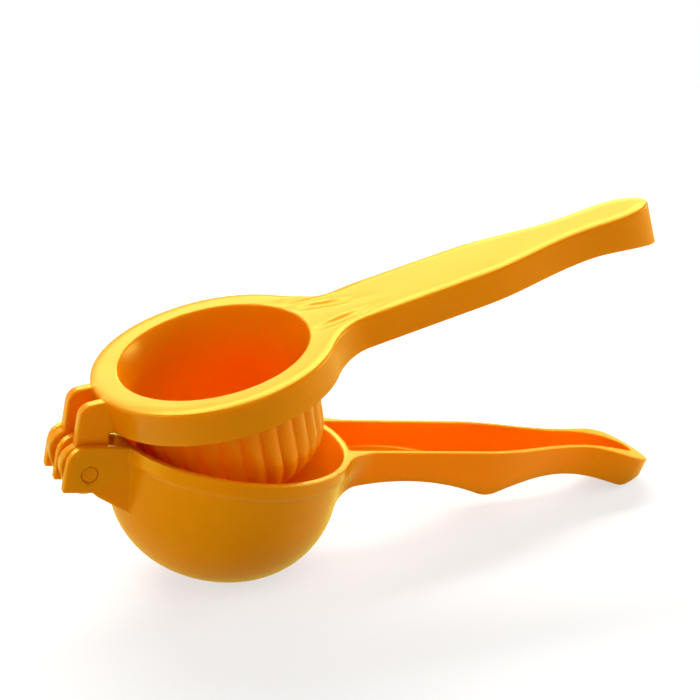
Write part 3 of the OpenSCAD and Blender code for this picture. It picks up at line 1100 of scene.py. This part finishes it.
    def build(self, stance: Stance, plastic: Material) -> Thing:
        """Makes the arm's mesh, flutes its cup and stands it up.

        Args:
            stance: how the squeezer stands.
            plastic: the arm's finish.

        Returns:
            The arm's object.
        """
        points, quads = net(self.distance, *self.box, self.cell)
        arm = mesh_object("press_arm_moulding", points, quads)
        radius, z = np.hypot(points[:, 0], points[:, 1]), points[:, 2]
        outside = np.abs(self.cup.distance(radius, z)) < self.flute_skin
        share = np.where(outside, self.fade(radius, z) / self.flute_depth, 0.0)
        valley = arm.data.attributes.new("valley", "FLOAT", "POINT")
        valley.data.foreach_set("value", share.astype(np.float32))
        tree, fluted = self.flutes()
        tree.bake(arm, fluted, plastic)
        return stand(arm, self.fluted, stance, Arm.PRESS)


@dataclass(frozen=True)
class HingePin:
    """The pin across the lugs, with chamfered and slightly dished ends."""

    hinge: Hinge
    chamfer: float = 0.35
    chamfer_curve: tuple[Spot, ...] = ((1.0, 0.0), (0.3, 0.3), (0.0, 1.0))
    dish: float = 0.25
    dish_curve: tuple[Spot, ...] = ((0.0, 1.0), (0.45, 0.8), (0.75, 0.1))
    sides: int = 64

    def build(self, stance: Stance, plastic: Material) -> Thing:
        """Turns the pin's half section about its axis and stands it up.

        Args:
            stance: how the squeezer stands.
            plastic: the pin's finish.

        Returns:
            The pin's object.
        """
        side, end = self.hinge.pin_r, self.hinge.width / 2 - self.hinge.pin_recess
        half = [(side * share, end - self.dish * fall) for share, fall in self.dish_curve]
        half += [(side - self.chamfer * a, end - self.chamfer * b) for a, b in self.chamfer_curve]
        section = np.array(half + [(r, -along) for r, along in reversed(half)])
        angles = 2 * np.pi * np.arange(self.sides) / self.sides
        r, along = section[:, :1], section[:, 1:] + 0 * angles
        points = np.stack([r * np.cos(angles), along, r * np.sin(angles)], -1).reshape(-1, 3)
        points += (self.hinge.pin_x, 0, self.hinge.pin_z)
        rows, columns = np.ogrid[: len(section) - 1, : self.sides]
        start, beside = rows * self.sides + columns, rows * self.sides + (columns + 1) % self.sides
        quads = np.stack([start, beside, beside + self.sides, start + self.sides], -1)
        pin = mesh_object("hinge_pin_turned", points, quads.reshape(-1, 4))
        pin.data.materials.append(plastic)
        pin.data.transform(stance.matrix(Arm.BOWL))
        face_outwards(pin.data)
        return pin


# ---- the studio


@dataclass(frozen=True)
class Softbox:
    """A soft lamp with a level upper edge, aimed at the squeezer."""

    name: str
    place: Place
    width: float
    height: float
    watts: float
    colour: Place = (1.0, 0.99, 0.93)

    def make(self, aim: Vector) -> None:
        """Hangs the lamp.

        Args:
            aim: the place it points at.
        """
        lamp = bpy.data.lights.new(self.name, "AREA")
        lamp.shape = "RECTANGLE"
        lamp.size = self.width
        lamp.size_y = self.height
        lamp.energy = self.watts
        lamp.color = self.colour
        thing = bpy.data.objects.new(self.name, lamp)
        thing.location = self.place
        thing.rotation_euler = (aim - thing.location).to_track_quat("-Z", "Y").to_euler()
        bpy.context.scene.collection.objects.link(thing)


@dataclass(frozen=True)
class Studio:
    """A pale floor and backdrop, soft lamps and the camera."""

    aim: Place = (0.0375, -0.0064, 0.0754)
    azimuth: float = -24.765
    elevation: float = 23.373
    roll: float = 0.237
    distance: float = 0.60336
    lens: float = 92.2
    floor_size: float = 6.0
    floor_bounce: float = 0.6
    floor_glow: float = 0.65
    shadow_reach: Spot = (0.25, 0.7)
    surround: float = 0.2
    lamps: tuple[Softbox, ...] = (
        Softbox("back_softbox", (0.35, 1.25, 0.78), 1.6, 0.42, 11.5),
        Softbox("top_softbox", (0.15, 0.95, 1.13), 1.6, 0.28, 20.0),
        Softbox("rim_softbox", (0.8, 1.15, 0.38), 0.7, 0.4, 5.0),
        Softbox("front_softbox", (-0.3, -0.95, 1.25), 0.8, 0.8, 5.0),
        Softbox("right_softbox", (1.4, -0.1, 0.45), 0.7, 0.7, 11.0),
        Softbox("left_softbox", (-1.35, 0.05, 0.45), 0.7, 0.7, 5.5),
    )

    def world(self) -> None:
        """Lights everything evenly, and shows white where nothing stands."""
        world = bpy.data.worlds.new("studio_world")
        world.use_nodes = True
        bpy.context.scene.world = world
        sheet = NodeSheet(world.node_tree)
        seen = sheet.seen()
        strength = sheet.math("ADD", sheet.math("MULTIPLY", seen, 1 - self.surround), self.surround)
        glow = sheet.out("ShaderNodeBackground", {"Color": (1, 1, 1, 1), "Strength": strength})
        sheet.add("ShaderNodeOutputWorld", {"Surface": glow})

    def floor(self) -> None:
        """Lays a pale floor that keeps the squeezer's soft shadow."""
        half = self.floor_size / 2
        corners = half * np.array([(-1, -1, 0), (1, -1, 0), (1, 1, 0), (-1, 1, 0)])
        floor = mesh_object("studio_floor", corners, np.array([[0, 1, 2, 3]]))
        paint = bpy.data.materials.new("studio_floor")
        paint.use_nodes = True
        sheet = NodeSheet(paint.node_tree)
        seen = sheet.seen()
        whiter = sheet.math("MULTIPLY", seen, 1 - self.floor_bounce)
        shade = sheet.math("ADD", whiter, self.floor_bounce)
        matt = sheet.out("ShaderNodeBsdfDiffuse", {"Color": shade})
        glow = sheet.out("ShaderNodeEmission")
        place = sheet.add("ShaderNodeTexCoord").outputs["Object"]
        away = sheet.add("ShaderNodeVectorMath", {0: place}, operation="LENGTH").outputs["Value"]
        near, far = self.shadow_reach
        spread = {"Value": away, "From Min": near, "From Max": far, "To Min": self.floor_glow}
        share = sheet.out("ShaderNodeMapRange", spread, interpolation_type="SMOOTHSTEP")
        lit = sheet.math("MULTIPLY", seen, share)
        both = sheet.out("ShaderNodeMixShader", {0: lit, 1: matt, 2: glow})
        sheet.add("ShaderNodeOutputMaterial", {"Surface": both})
        floor.data.materials.append(paint)

    def camera(self) -> None:
        """Sets up the camera at the viewing angle."""
        turn, rise = math.radians(self.azimuth), math.radians(self.elevation)
        level = math.cos(rise)
        back = Vector((math.sin(turn) * level, -math.cos(turn) * level, math.sin(rise)))
        lens = bpy.data.cameras.new("camera")
        lens.lens = self.lens
        lens.clip_start = 0.01
        camera = bpy.data.objects.new("camera", lens)
        camera.location = Vector(self.aim) + back * self.distance
        spin = Matrix.Rotation(math.radians(self.roll), 3, "Z")
        camera.rotation_euler = ((-back).to_track_quat("-Z", "Y").to_matrix() @ spin).to_euler()
        bpy.context.scene.collection.objects.link(camera)
        bpy.context.scene.camera = camera

    def build(self) -> None:
        """Sets up floor, light and camera."""
        bpy.context.scene.view_settings.view_transform = "Standard"
        self.world()
        self.floor()
        for lamp in self.lamps:
            lamp.make(Vector(self.aim))
        self.camera()


# ---- the whole


def declare(piece: Thing, arm: Arm, slot: str, *nodes: str) -> None:
    """Hangs a piece on the body of the arm it rides on and hides the CAD nodes that it replaces.

    Args:
        piece: the piece's object.
        arm: the arm it rides on.
        slot: not used.
        nodes: the CAD nodes that it replaces.
    """
    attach(piece, arm.value)
    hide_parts(*nodes)
    log.info("%s: %d faces, rides on %s", piece.name, len(piece.data.polygons), arm.value)


def main() -> None:
    """Builds the squeezer and the studio round it."""
    logging.basicConfig(level=logging.INFO, format="%(name)s: %(message)s")
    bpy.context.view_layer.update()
    hinge = Hinge()
    bowl_arm = BowlArm(hinge)
    press_arm = PressArm(hinge)
    stance = Stance(bowl_arm.bowl, hinge, bowl_arm.heel)
    bowl_plastic = MouldedPlastic("bowl_arm_plastic", (0.9, 0.28, 0.001), (0.85, 0.25, 0.0005))
    press_plastic = MouldedPlastic("press_arm_plastic", (0.9, 0.272, 0.001), (0.85, 0.24, 0.0005))
    pin_tones = (0.88, 0.24, 0.001), (0.82, 0.21, 0.0005)
    pin_plastic = MouldedPlastic("hinge_pin_plastic", *pin_tones, glow=0.1)

    bowl_piece = bowl_arm.build(stance, bowl_plastic.make())
    declare(bowl_piece, Arm.BOWL, "bowl_arm_plastic", "bowl_arm")
    press_piece = press_arm.build(stance, press_plastic.make())
    declare(press_piece, Arm.PRESS, "press_arm_plastic", "press_arm")
    pin_piece = HingePin(hinge).build(stance, pin_plastic.make())
    declare(pin_piece, Arm.BOWL, "hinge_pin_plastic", "hinge_pin")
    Studio().build()


if __name__ == "__main__":
    main()
